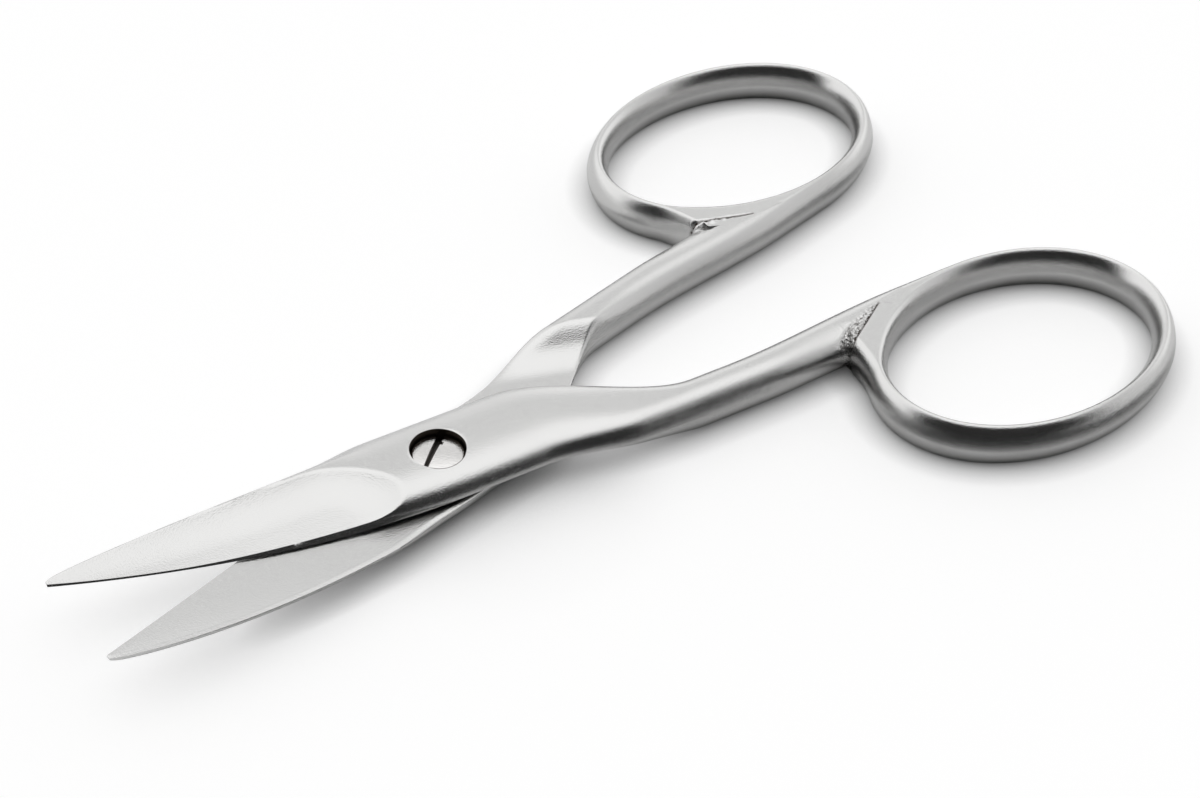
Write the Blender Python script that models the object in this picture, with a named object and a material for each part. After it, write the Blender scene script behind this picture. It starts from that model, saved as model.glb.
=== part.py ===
"""Nail scissors: two forged halves that turn against each other on one slotted pivot screw.

The scissors lie flat, screw head up, open by twice HALF_OPENING. The pivot axis is Z, the blades point
along -X and the finger bows along +X. The lowest faces, under the joint and under the bows, are at z = 0.
Each half is modelled closed, in its own frame: x = 0 on the pivot axis, z = 0 on the parting plane between
the halves, and +z towards the half's outer face. The lower half is then turned over about X.
"""

import math

import bpy
import numpy as np

MM = 0.001

# Driving dimensions in millimetres, angles in degrees
HALF_OPENING = 7.9          # turn of each half from the closed position
JOINT_THICKNESS = 2.0       # each half, from the parting plane to its outer face
FACE_GAP = 0.3              # running gap between the two inner faces

BLADE_LENGTH = 29.8         # pivot axis to tip
BLADE_RISE = 3.1            # how far the curved tips stand above the parting plane
SPINE_REACH = 4.3           # pivot axis to the spine side of the joint
EDGE_REACH = 3.9            # pivot axis to the cutting side of the joint
TIP_WIDTH = 0.3             # blunt width of a tip
TIP_OFFSET = 0.1            # from the blade's middle line to the tip's, towards the cutting edge
SPINE_ROOT_POWER = 1.9      # the spine's outline, 1 - (1 - fraction ** root) ** tip: a larger root power
SPINE_TIP_POWER = 0.84      # keeps it full for longer, a larger tip power draws the tip out
EDGE_ROOT_POWER = 1.6       # the cutting edge's outline likewise, straight towards the tip
SPINE_LAND = 0.35           # height of the thin wall along the spine, below its 45 degree roll-off
SIDE_LAND = 0.4             # height of the upright wall on the joint's sides, below its crown
CROWN_POWER = 3.0           # larger keeps the joint's top flat closer to its sides
EDGE_LEAN = 0.7             # how far the bevel behind the cutting edge leans, per height
BEVEL_MARGIN = 0.25         # the bevel is forged this much higher than the facet that cuts it off
BEVEL_SHARE = 0.3           # most of the blade's width that the bevel's lean may take
EDGE_WALL_SLOPE = 0.5       # rise of the forged blade behind its bevel, before the facet is ground
HOLLOW_DEPTH = 0.08         # hollow grind of the inner face

FACET_HEIGHT_ROOT = 0.42    # height of the ground facet above the cutting edge, near the joint
FACET_HEIGHT_TIP = 0.12
FACET_RISE_FROM = 22.0      # the facet's height grows between these two distances from the pivot axis
FACET_RISE_TO = 6.0
FACET_SLOPE = 0.16          # rise of the facet per millimetre towards the spine
FORGED_BLADE_FROM = 8.5     # pivot axis to where the joint's crown has become the blade's forged shape
SCOOP_END = 4.0             # pivot axis to the rounded end of the facet, where the wheel left the blade
SCOOP_LENGTH = 5.8          # the facet starts to rise this far before its end,
SCOOP_WIDTH = 5.2           # and this far across from its end's apex, so that its end is D shaped in plan
SCOOP_APEX_Y = -2.6
SCOOP_FLAT = 0.3            # share of that length and width that stays flat
SCOOP_RADIUS = 8.0          # the wheel's

SHANK_WIDTH = 3.5
SHANK_OFFSET = 3.3          # shank's centre line from the scissors' centre line
FLARE_START = 6.6           # where the joint plate starts to narrow on the inner side
FLARE_LENGTH = 14.1
LOWER_FLARE_SHIFT = 1.5     # the lower half's plate is ground back this much nearer the pivot
SWELL_START = 7.0           # where the cutting side of the joint swells into the shank
SWELL_LENGTH = 8.0
RAMP_START = 7.6            # where the flat inner face starts to run up onto the shank, at its outer side
RAMP_SLANT = 1.55           # the ramp's slanted foot: millimetres along per millimetre across
RAMP_RADIUS = 4.8           # the ramp is the round of the wheel that cut it
RAMP_BLEND = 0.8            # and runs out over the shank in a soft crest
SHANK_FROM = 9.0            # the joint's top starts to round off into the shank here,
SHANK_FULL = 20.0           # and is fully round from here on
RAMP_FADE_START = 19.0      # the ramp's last trace fades out between these two distances
RAMP_FADE_END = 23.0

BOW_CENTRE_X = 45.9         # pivot axis to the middle of a finger bow, along the closed scissors
BOW_CENTRE_Y = 10.8         # scissors' centre line to the middle of a bow, closed
BOW_LENGTH = 25.85          # along the wire's centre line, the long way
BOW_WIDTH = 18.8            # the same, the short way
BOW_TURN = 7.3              # the bow's long axis against the scissors' centre line
WIRE_WIDTH = 1.85           # bow metal, radially
WIRE_HEIGHT = 3.7           # bow metal, and the shank, along Z
WIRE_FULLNESS = 2.2         # exponent of the oval section: 2 is an ellipse, more is squarer
SHANK_LEAN_START = 24.0     # the shank's inner side leans out from here
SHANK_LEAN_END = 41.0       # to here, where it has reached the bow's inner side
NOTCH_X = 33.9              # where the bow's welded end meets the shank's outer side
NOTCH_Y = -4.85
NOTCH_LEAN = 8.0            # the shank's outer side leans to the notch over this length
WELD_FLARE = 1.2            # the bow's end is this much wider where it is welded back onto the shank
WELD_FROM = 157.0           # the widening starts here, in degrees round the bow from its far end,
WELD_FULL = 140.0           # is complete here, at the notch,
WELD_TO = 100.0             # and ends here, inside the shank,
WELD_FADE = 15.0            # over this many degrees
WELD_FULLNESS = 4.0         # the weld is dressed nearly flat, above and below
SHANK_END_HEIGHT = 0.95     # the shank's height where it ends inside the bow, against the bow's

RECESS_RADIUS = 2.1         # counterbore for the screw's head
RECESS_DEPTH = 1.4
NECK_RADIUS = 1.2           # screw's plain neck
BORE_CLEARANCE = 0.3        # radial, round the neck
HEAD_CLEARANCE = 0.25       # round and under the head
HEAD_SINK = 0.4             # head's top below the upper half's outer face
SLOT_WIDTH = 0.5
SLOT_DEPTH = 0.4
SLOT_ANGLE = 35.0           # screwdriver slot's direction in plan
HEAD_ROUNDING = 0.15

# Mesh fineness; the powers crowd the stations towards the tip and towards the facet's end
STATION_STEP = 1.1          # along the bar
TIP_CROWDING = 1.4
ACROSS = 10                 # spans across the top and across the bottom of a section
BOW_STATIONS = 90
WIRE_SIDES = 16
ROUND_SIDES = 40
GRINDER_STATIONS = 44
GRINDER_CROWDING = 0.6
GRINDER_ACROSS = 18
SHARP_ANGLE = 35.0          # edges turned by more than this are shaded sharp

# Values that follow from the ones above
INNER_FACE = FACE_GAP / 2
RING_LEVEL = JOINT_THICKNESS - WIRE_HEIGHT / 2
SHANK_INNER = -SHANK_OFFSET + SHANK_WIDTH / 2
SHANK_OUTER = -SHANK_OFFSET - SHANK_WIDTH / 2
SPINE_TIP = TIP_WIDTH / 2 - TIP_OFFSET
EDGE_TIP = -TIP_WIDTH / 2 - TIP_OFFSET


def smoothstep(value, start, end):
    """0 before start, 1 past end, and a smooth S between them."""
    t = np.clip((value - start) / (end - start), 0.0, 1.0)
    return t * t * (3.0 - 2.0 * t)


def mix(a, b, weight):
    return a + (b - a) * weight


def soft_max(a, b, blend):
    """The larger of two values, with a rounded change from one to the other."""
    return (a + b + np.sqrt((a - b) ** 2 + blend ** 2)) / 2.0


def blade_fraction(x):
    """0 at the pivot axis and everywhere behind it, 1 at the tip."""
    return np.clip(-x / BLADE_LENGTH, 0.0, 1.0)


def bow_point(angle, outward=0.0):
    """A point of the finger bow's centre line in plan, moved outward by a distance."""
    turn = math.radians(BOW_TURN)
    a = BOW_LENGTH / 2
    b = BOW_WIDTH / 2
    size = np.hypot(b * np.cos(angle), a * np.sin(angle))
    along = a * np.cos(angle) + outward * b * np.cos(angle) / size
    across = b * np.sin(angle) + outward * a * np.sin(angle) / size
    x = BOW_CENTRE_X + along * math.cos(turn) - across * math.sin(turn)
    y = -BOW_CENTRE_Y + along * math.sin(turn) + across * math.cos(turn)
    return x, y


# The shank ends inside the bow's metal, at the bow's side nearest the centre line
JOIN_ANGLE = math.radians(90.0 - BOW_TURN / 2)
END_X = bow_point(JOIN_ANGLE)[0]
END_INNER = bow_point(JOIN_ANGLE, 0.45 * WIRE_WIDTH)[1]
END_OUTER = bow_point(JOIN_ANGLE, -0.40 * WIRE_WIDTH)[1]


def spine_side(x, flare_shift):
    """Plan outline on the spine side: blade, flared joint plate, then the shank's inner side."""
    fullness = (1.0 - blade_fraction(x) ** SPINE_ROOT_POWER) ** SPINE_TIP_POWER
    blade = mix(SPINE_TIP, SPINE_REACH, fullness)
    flare_from = FLARE_START - flare_shift
    shank = mix(SHANK_INNER, END_INNER, smoothstep(x, SHANK_LEAN_START, SHANK_LEAN_END))
    return mix(blade, shank, smoothstep(x, flare_from, flare_from + FLARE_LENGTH))


def cutting_side(x):
    """Plan outline on the cutting side: blade, the swell of the joint, then the shank's outer side."""
    blade = mix(EDGE_TIP, -EDGE_REACH, 1.0 - blade_fraction(x) ** EDGE_ROOT_POWER)
    to_notch = mix(SHANK_OUTER, NOTCH_Y, smoothstep(x, NOTCH_X - NOTCH_LEAN, NOTCH_X))
    shank = mix(to_notch, END_OUTER, np.clip((x - NOTCH_X) / (END_X - NOTCH_X), 0.0, 1.0))
    return mix(blade, shank, smoothstep(x, SWELL_START, SWELL_START + SWELL_LENGTH))


def blade_bend(x, rise):
    """Height of the curved blade's middle surface: an arc that is flat at the pivot."""
    return rise * blade_fraction(x) ** 2


def facet_height(x):
    """Height of the facet above the parting surface along the cutting edge."""
    grown = smoothstep(x, -FACET_RISE_FROM, -FACET_RISE_TO)
    return INNER_FACE + mix(FACET_HEIGHT_TIP, FACET_HEIGHT_ROOT, grown)


def scoop(x, y):
    """How far the facet's end rises, where the wheel left the blade: an arc past a D shaped line in plan."""
    along = np.maximum(x + SCOOP_END + SCOOP_LENGTH, 0.0) / SCOOP_LENGTH
    across = np.maximum(y - SCOOP_APEX_Y, 0.0) / SCOOP_WIDTH
    past = SCOOP_LENGTH * np.maximum(np.hypot(along, across) - SCOOP_FLAT, 0.0)
    return past ** 2 / (2.0 * SCOOP_RADIUS)


def oval(across, fullness):
    """Height of a rounded section, from 0 at both sides to 1 in the middle."""
    return (1.0 - np.abs(across) ** fullness) ** (1.0 / fullness)


def section(x, half):
    """One closed section of a forging at x: its top from spine to cutting side, then its bottom back."""
    u = (1.0 - np.cos(np.pi * np.arange(ACROSS + 1) / ACROSS)) / 2.0
    spine = spine_side(x, half["flare_shift"])
    edge = cutting_side(x)
    width = spine - edge
    on_blade = smoothstep(-x, 0.5 * FORGED_BLADE_FROM, FORGED_BLADE_FROM)

    # The bevel behind the cutting edge rises a little past the facet that is ground into it
    bevel = min(facet_height(x) - INNER_FACE + BEVEL_MARGIN, JOINT_THICKNESS / 2)
    lean = on_blade * min(EDGE_LEAN * bevel, BEVEL_SHARE * width)
    top_y = mix(spine, edge + lean, u)
    bottom_y = mix(edge, spine, u)
    across = 2.0 * u - 1.0

    # Forged joint with crowned sides, and forged blade with a 45 degree roll-off at the spine
    crown = (1.0 - np.abs(across) ** CROWN_POWER) ** 0.5
    side = SIDE_LAND + (JOINT_THICKNESS - SIDE_LAND) * crown
    roll_off = INNER_FACE + SPINE_LAND + spine - top_y
    edge_wall = INNER_FACE + bevel + EDGE_WALL_SLOPE * (top_y - edge - lean)
    blade = np.minimum(np.minimum(roll_off, edge_wall), JOINT_THICKNESS)
    forged_top = mix(side, blade, on_blade)
    hollow = HOLLOW_DEPTH * on_blade * min(1.0, width / EDGE_REACH)
    forged_bottom = INNER_FACE + hollow * (1.0 - across ** 2)

    # Shank: an oval as tall as the bow's wire, squarer at the weld, and lower where it ends inside the bow
    fullness = mix(WIRE_FULLNESS, WELD_FULLNESS, smoothstep(x, NOTCH_X, NOTCH_X + WIRE_HEIGHT))
    height = WIRE_HEIGHT / 2 * mix(1.0, SHANK_END_HEIGHT, smoothstep(x, SHANK_LEAN_END, END_X))
    bulge = mix(SIDE_LAND / WIRE_HEIGHT, 1.0, oval(across, fullness))
    top_z = mix(forged_top, half["ring_level"] + height * bulge, smoothstep(x, SHANK_FROM, SHANK_FULL))

    # The ramp from the flat inner face up onto the shank's own inner side
    foot = RAMP_START + RAMP_SLANT * (bottom_y - SHANK_OUTER)
    past = np.clip((x - foot) / math.hypot(1.0, RAMP_SLANT), 0.0, RAMP_RADIUS)
    rise = RAMP_RADIUS - np.sqrt(RAMP_RADIUS ** 2 - past ** 2)
    shank_z = half["ring_level"] - height * bulge
    blend = RAMP_BLEND * smoothstep(x, RAMP_START, SHANK_FROM)
    ramp_z = soft_max(forged_bottom - rise * bulge, shank_z, blend)
    bottom_z = mix(ramp_z, shank_z, smoothstep(x, RAMP_FADE_START, RAMP_FADE_END))

    y = np.concatenate([top_y, bottom_y])
    z = np.concatenate([top_z, bottom_z]) + blade_bend(x, half["rise"])
    return np.stack([np.full_like(y, x), y, z], axis=1)


def bar_loops(half):
    """The forged bar from tip to the shank's end, inside the bow."""
    from_tip = np.linspace(0.0, 1.0, round(BLADE_LENGTH / STATION_STEP)) ** TIP_CROWDING
    blade = -BLADE_LENGTH * (1.0 - from_tip)
    shank = np.linspace(0.0, END_X, round(END_X / STATION_STEP))[1:]
    return np.array([section(x, half) for x in np.concatenate([blade, shank])])


def wire_section(centre, outward, width, height, fullness):
    """A rounded band's section: centre is a point, outward a direction in plan."""
    side = 2.0 * np.pi * (np.arange(WIRE_SIDES) + 0.5) / WIRE_SIDES
    power = 2.0 / fullness
    out = width / 2 * np.sign(np.cos(side)) * np.abs(np.cos(side)) ** power
    up = height / 2 * np.sign(np.sin(side)) * np.abs(np.sin(side)) ** power
    loop = np.empty((WIRE_SIDES, 3))
    loop[:, 0] = centre[0] + out * outward[0]
    loop[:, 1] = centre[1] + out * outward[1]
    loop[:, 2] = centre[2] + up
    return loop


def at_weld(degrees):
    """0 round the bow, growing to 1 at the notch, where its end is welded back onto the shank."""
    onto_shank = np.clip((WELD_FROM - degrees) / (WELD_FROM - WELD_FULL), 0.0, 1.0) ** 2
    into_shank = smoothstep(degrees, WELD_TO, WELD_TO + WELD_FADE)
    return onto_shank * into_shank


def bow_loops(half):
    """The finger bow: the band carried once round its oval, clockwise in plan, wider at its weld."""
    loops = []
    for station in range(BOW_STATIONS):
        degrees = 360.0 - 360.0 * station / BOW_STATIONS
        flare = WELD_FLARE * at_weld(degrees)
        fullness = mix(WIRE_FULLNESS, WELD_FULLNESS, at_weld(degrees))
        x, y = bow_point(math.radians(degrees), flare / 2)
        beyond_x, beyond_y = bow_point(math.radians(degrees), flare / 2 + 1.0)
        centre = (x, y, half["ring_level"])
        outward = (beyond_x - x, beyond_y - y)
        loops.append(wire_section(centre, outward, WIRE_WIDTH + flare, WIRE_HEIGHT, fullness))
    return np.array(loops)


def add_mesh(name, vertices, faces):
    mesh = bpy.data.meshes.new(name)
    mesh.from_pydata((np.asarray(vertices) * MM).tolist(), [], faces)
    mesh.update()
    result = bpy.data.objects.new(name, mesh)
    bpy.context.collection.objects.link(result)
    return result


def add_tube(name, loops, closed_round=False):
    """A skin over the loops; its ends are capped unless it runs round into itself."""
    rows, sides, _ = loops.shape
    faces = []
    for row in range(rows if closed_round else rows - 1):
        a = row * sides
        b = (row + 1) % rows * sides
        for side in range(sides):
            after = (side + 1) % sides
            faces.append((a + side, a + after, b + after, b + side))
    if not closed_round:
        faces.append(tuple(reversed(range(sides))))
        faces.append(tuple((rows - 1) * sides + side for side in range(sides)))
    return add_mesh(name, loops.reshape(-1, 3), faces)


def add_turned(name, profile):
    """A body turned about Z from (radius, height) points, which run from its bottom to its top."""
    turns = 2.0 * math.pi * np.arange(ROUND_SIDES) / ROUND_SIDES
    loops = []
    for radius, height in profile:
        heights = np.full(ROUND_SIDES, height)
        loops.append(np.stack([radius * np.cos(turns), radius * np.sin(turns), heights], axis=1))
    return add_tube(name, np.array(loops))


def helper(cutter):
    """Marks a body that only shapes another one."""
    cutter.hide_render = True
    cutter.display_type = "WIRE"
    return cutter


def shape_with(target, operation, tool):
    """Adds a body to the target, or cuts it out."""
    boolean = target.modifiers.new(tool.name, "BOOLEAN")
    boolean.operation = operation
    boolean.object = helper(tool)
    boolean.solver = "EXACT"


def facet_grinder(half):
    """Everything above the ground facet: its surface from cutting edge to spine, and the space over it."""
    side_room = 1.5
    high = 3.0 * JOINT_THICKNESS + abs(half["rise"])
    loops = []
    along = np.linspace(0.0, 1.0, GRINDER_STATIONS) ** GRINDER_CROWDING
    for x in mix(-BLADE_LENGTH - side_room, -NECK_RADIUS, along):
        edge = cutting_side(x)
        y = np.linspace(edge - side_room, spine_side(x, 0.0) + side_room, GRINDER_ACROSS)
        ground = facet_height(x) + FACET_SLOPE * (y - edge) + scoop(x, y) + blade_bend(x, half["rise"])
        ground = np.minimum(ground, high - JOINT_THICKNESS / 2)
        points = [(x, y[-1], high), (x, y[0], high)] + [(x, across, z) for across, z in zip(y, ground)]
        loops.append(points)
    return add_tube(half["name"] + "_grinder", np.array(loops))


def bore(name, radius, from_z, to_z):
    return add_turned(name, [(radius, from_z), (radius, to_z)])


def add_half(half, material):
    """One forging with its bow, facet and bore, in place and turned to the rest position."""
    name = half["name"]
    body = add_tube(name, bar_loops(half))
    shape_with(body, "UNION", add_tube(name + "_bow", bow_loops(half), closed_round=True))
    shape_with(body, "DIFFERENCE", facet_grinder(half))
    outside = JOINT_THICKNESS + 1.0
    shape_with(body, "DIFFERENCE", bore(name + "_bore", NECK_RADIUS + BORE_CLEARANCE, -1.0, outside))
    if half["recessed"]:
        floor = JOINT_THICKNESS - RECESS_DEPTH
        shape_with(body, "DIFFERENCE", bore(name + "_recess", RECESS_RADIUS, floor, outside))

    axis = bpy.data.objects.new(name + "_axis", None)
    bpy.context.collection.objects.link(axis)
    axis.location = (0.0, 0.0, JOINT_THICKNESS * MM)
    axis.rotation_euler = half["turn"]
    for piece in [body] + [modifier.object for modifier in body.modifiers]:
        piece.parent = axis
    finish(body, material)
    return body


def add_screw(material):
    """The pivot screw, in world place: neck flush with the lower face, head in the recess, slot across."""
    head_radius = RECESS_RADIUS - HEAD_CLEARANCE
    head_under = 2.0 * JOINT_THICKNESS - RECESS_DEPTH + HEAD_CLEARANCE
    head_top = 2.0 * JOINT_THICKNESS - HEAD_SINK
    profile = [(NECK_RADIUS, 0.0), (NECK_RADIUS, head_under), (head_radius, head_under),
               (head_radius, head_top - HEAD_ROUNDING), (head_radius - HEAD_ROUNDING, head_top)]
    screw = add_turned("pivot_screw", profile)

    reach = head_radius + 1.0
    half_slot = SLOT_WIDTH / 2
    bottom = head_top - SLOT_DEPTH
    above = head_top + 1.0
    corners = [(half_slot, bottom), (half_slot, above), (-half_slot, above), (-half_slot, bottom)]
    slot = add_tube("slot_cutter", np.array([[(x, y, z) for y, z in corners] for x in (-reach, reach)]))
    slot.rotation_euler = (0.0, 0.0, math.radians(SLOT_ANGLE))
    shape_with(screw, "DIFFERENCE", slot)
    finish(screw, material)
    return screw


def finish(body, material):
    body.data.materials.append(material)
    body.data.shade_smooth()
    body.data.set_sharp_from_angle(angle=math.radians(SHARP_ANGLE))


def steel(name, color, roughness):
    material = bpy.data.materials.new(name)
    material.use_nodes = True
    shader = material.node_tree.nodes["Principled BSDF"]
    shader.inputs["Base Color"].default_value = (*color, 1.0)
    shader.inputs["Metallic"].default_value = 1.0
    shader.inputs["Roughness"].default_value = roughness
    return material


def build():
    for old in list(bpy.data.objects):
        bpy.data.objects.remove(old, do_unlink=True)
    turn = math.radians(HALF_OPENING)
    halves = [
        {"name": "upper_half", "rise": BLADE_RISE, "ring_level": -RING_LEVEL, "flare_shift": 0.0,
         "recessed": True, "turn": (0.0, 0.0, -turn)},
        {"name": "lower_half", "rise": -BLADE_RISE, "ring_level": RING_LEVEL,
         "flare_shift": LOWER_FLARE_SHIFT, "recessed": False, "turn": (math.pi, 0.0, turn)},
    ]
    satin = (0.62, 0.61, 0.60)
    for half in halves:
        add_half(half, steel(half["name"] + "_steel", satin, 0.28))
    add_screw(steel("screw_steel", (0.66, 0.65, 0.63), 0.15))


build()
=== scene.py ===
"""Nail scissors: the looks of two ground steel halves and their slotted pivot screw.

Each half is one skin carried along the forging, from the blade's tip through the joint and the shank and once
round the finger bow, back to its weld. It is worked out with the scissors closed, in the half's own frame, in
millimetres: x = 0 on the pivot axis, z = 0 on the parting plane and +z towards the half's outer face. It is
then turned to its place at rest, the lower half after being turned over.
"""

import math

import bpy
import numpy as np
from mathutils import Matrix, Vector


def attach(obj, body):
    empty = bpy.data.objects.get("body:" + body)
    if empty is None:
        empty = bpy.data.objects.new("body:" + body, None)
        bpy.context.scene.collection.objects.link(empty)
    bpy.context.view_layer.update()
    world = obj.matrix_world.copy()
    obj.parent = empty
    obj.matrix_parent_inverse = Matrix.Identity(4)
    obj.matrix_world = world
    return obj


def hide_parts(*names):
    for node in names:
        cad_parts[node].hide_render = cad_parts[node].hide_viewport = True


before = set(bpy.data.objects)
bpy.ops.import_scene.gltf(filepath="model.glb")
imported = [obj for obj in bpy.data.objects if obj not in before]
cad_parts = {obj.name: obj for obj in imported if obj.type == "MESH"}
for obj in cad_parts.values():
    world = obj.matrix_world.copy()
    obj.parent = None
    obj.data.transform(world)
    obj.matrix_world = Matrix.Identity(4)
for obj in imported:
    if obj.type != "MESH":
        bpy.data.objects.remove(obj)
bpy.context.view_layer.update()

MM = 0.001

# The frame's values, as the CAD model has them, in millimetres and degrees
HALF_OPENING = 7.9
JOINT_THICKNESS = 2.0
BLADE_LENGTH = 29.8
BLADE_RISE = 3.1
SHANK_WIDTH = 3.5
SHANK_OFFSET = 3.3
SHANK_FULLNESS = 2.2        # the power of the superellipse that rounds the shank
RING_HEIGHT = 3.7
RING_LEVEL = JOINT_THICKNESS - RING_HEIGHT / 2
BOW_CENTRE = np.array([45.9, -10.8])
BOW_LENGTH = 25.85
BOW_WIDTH = 18.8
BOW_TURN = math.radians(7.3)
WIRE_WIDTH = 1.85

# The camera, fitted to the photograph: its lens in the photograph's pixels, its place in millimetres
PHOTO_WIDTH_PX = 1200
FOCAL_PX = 2324.8
AZIMUTH = math.radians(-40.593)
ELEVATION = math.radians(41.323)
ROLL = math.radians(1.866)
DISTANCE = 176.49
TARGET = Vector((14.293, -1.228, 1.85))
SENSOR_WIDTH = 36.0
CLIP_START = 0.005          # in metres, as Blender takes it


def add_camera():
    """A camera at DISTANCE from TARGET, rolled a little about its own axis."""
    back = Vector((math.sin(AZIMUTH) * math.cos(ELEVATION), -math.cos(AZIMUTH) * math.cos(ELEVATION),
                   math.sin(ELEVATION)))
    right = (-back).cross(Vector((0, 0, 1))).normalized()
    up = right.cross(-back)
    rolled_right = right * math.cos(ROLL) + up * math.sin(ROLL)
    rolled_up = up * math.cos(ROLL) - right * math.sin(ROLL)
    place = Matrix((rolled_right, rolled_up, back)).transposed().to_4x4()
    place.translation = (TARGET + back * DISTANCE) * MM
    data = bpy.data.cameras.new("camera")
    data.sensor_width = SENSOR_WIDTH
    data.lens = FOCAL_PX / PHOTO_WIDTH_PX * data.sensor_width
    data.clip_start = CLIP_START
    camera = bpy.data.objects.new("camera", data)
    camera.matrix_world = place
    bpy.context.scene.collection.objects.link(camera)
    bpy.context.scene.camera = camera


def smoothstep(value, start, end):
    """0 before start, 1 past end, and t * t * (3 - 2 t) between them."""
    t = np.clip((value - start) / (end - start), 0.0, 1.0)
    return t * t * (3.0 - 2.0 * t)


def mix(a, b, weight):
    return a + (b - a) * weight


def soft_min(a, b, radius):
    """The smaller of two, with the corner between them rounded off over about the radius."""
    h = np.clip(0.5 + 0.5 * (b - a) / radius, 0.0, 1.0)
    return mix(b, a, h) - radius * h * (1.0 - h)


def rounded(distance, width, fullness=SHANK_FULLNESS):
    """Height of a rounded edge, 0 at the edge to 1 at the width inside it: a superellipse."""
    q = 1.0 - np.clip(distance / width, 0.0, 1.0)
    return (1.0 - q ** fullness) ** (1.0 / fullness)


def bow_point(angle, outward=0.0):
    """Points of the bow's oval in plan, moved along its normal by outward: an ellipse turned by BOW_TURN."""
    a = BOW_LENGTH / 2
    b = BOW_WIDTH / 2
    size = np.hypot(b * np.cos(angle), a * np.sin(angle))
    along = a * np.cos(angle) + outward * b * np.cos(angle) / size
    across = b * np.sin(angle) + outward * a * np.sin(angle) / size
    x = BOW_CENTRE[0] + along * math.cos(BOW_TURN) - across * math.sin(BOW_TURN)
    y = BOW_CENTRE[1] + along * math.sin(BOW_TURN) + across * math.cos(BOW_TURN)
    return np.stack(np.broadcast_arrays(x, y), axis=-1)


# The outline in plan, in millimetres. A pair is where a change along the forging starts and ends
SPINE_TIP = 0.05
SPINE_REACH = 4.3
SPINE_BELLY = 1.9
SPINE_NOSE = 0.84
SPINE_IN_START = (-9.0, -3.0)   # the lower half's spine is set in a little between these
SPINE_IN_END = (4.0, 9.0)
EDGE_TIP = -0.25
EDGE_REACH = 3.9
EDGE_BELLY = 1.6
FLARE_START = 6.6
FLARE_LENGTH = 14.1
SWELL_START = 7.0
SWELL_LENGTH = 8.0
SHANK_INNER = -SHANK_OFFSET + SHANK_WIDTH / 2
SHANK_OUTER = -SHANK_OFFSET - SHANK_WIDTH / 2
SHANK_LEAN = (24.0, 41.0)   # the shank's inner side leans over to the bow's outer side
NOTCH_X = 33.9              # where the bow's welded end meets the shank's outer side
NOTCH_Y = -4.85
NOTCH_SPREAD = 8.0          # the shank widens to the notch over this length
SEAM_X = 38.3               # where the weld's seam ends, on top of the forging
SEAM_Y = -2.1
MERGE_START = SEAM_X - 0.3
MERGE_X = 41.0              # from here on the forging's outer side is the finger hole's wall

# The blade and the joint
INNER_FACE = 0.15           # from the parting plane to the inner face at the joint
INNER_BLADE = 0.05          # and along the blade
INNER_FADE = (4.0, 11.0)
HOLLOW_DEPTH = 0.08
EDGE_BREAK = 0.1            # the joint's inner edges are broken this much
SIDE_LAND = 0.4             # the upright foot of the joint's sides
SPINE_LAND = 0.35           # and of the blade's spine
SPINE_SOFTNESS = 0.2
EDGE_LEAN = 0.7             # the wall under the facet leans in by this share of its height
LEAN_LIMIT = 0.3            # but by no more than this share of the blade's width
FACET_HEIGHT_ROOT = 0.42
FACET_HEIGHT_TIP = 0.12
FACET_RISE = (-22.0, -6.0)
FACET_SLOPE = 0.16
FACET_SOFTNESS = 0.05
FACET_LIMIT = -1.0          # nothing is ground past this x
SCOOP_START = 8.5
SCOOP_END = 4.0
SCOOP_LENGTH = 5.8
SCOOP_WIDTH = 5.2
SCOOP_APEX_Y = -2.6
SCOOP_LEVEL = 0.3
SCOOP_RADIUS = 8.0

# The shank, and the ramp from it up to the joint's inner face
WIRE_FULLNESS = 1.6         # the bow's section is a little more pointed than the shank's
SHANK_FROM = 9.0            # the joint's outer face turns into the shank between these
SHANK_FULL = 20.0
ROUND_AT_NOTCH = 2.5        # the cutting side's rounding widens to this at the notch
ROUND_SPREAD = 7.0
SQUARE_RANGE = (NOTCH_X - 0.3, NOTCH_X + 2.5)
MERGED_RANGE = (MERGE_X - 0.6, MERGE_X)
SEAM_ROUND = 0.05           # both sides of the seam are dressed flat, up to this small a rounding
RAMP_START = 7.1
RAMP_SLANT = 1.55
RAMP_ARC = 0.9              # the ramp's arc ends at this share of its radius
RAMP_LEAST = 0.1            # at the forging's edges the ramp keeps this share of its drop
RAMP_SHARP = 0.001          # the corner between ramp and shank is rounded this much at the foot
RAMP_BLEND = 0.9            # and by this much more from where the shank begins
RAMP_FADE = (19.0, 23.0)
RAMP_CHAMFER = 0.08         # the edge beside the ramp is chamfered this deep over this width
RAMP_CHAMFER_WIDTH = 0.35
CRISP_EDGE = 0.12           # and rounded only this far in
CRISP_FADE = (15.0, 24.0)

# The bow's welded end, by angle round the oval in degrees
FLARE_ANGLE = 157.0
NOTCH_ANGLE = 140.0
END_ANGLE = 100.0
COVERED_ANGLE = NOTCH_ANGLE - 5.0
HANDOVER_ANGLE = NOTCH_ANGLE + 15.0
DRESSED_RANGE = (-NOTCH_ANGLE - 1.0, -NOTCH_ANGLE + 6.0)
TUCK_ANGLE = 6.0
WELD_FLARE = 1.2
FLARE_LIMIT = 1.3
END_REACH = 0.42            # in the bar, its outer side is this share of its width off its middle
END_TUCK = 0.2              # its very end draws in and down, out of sight
END_DROP = 0.3
END_COVER = 0.005           # the bar's surface covers the bow's by this much

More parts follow.
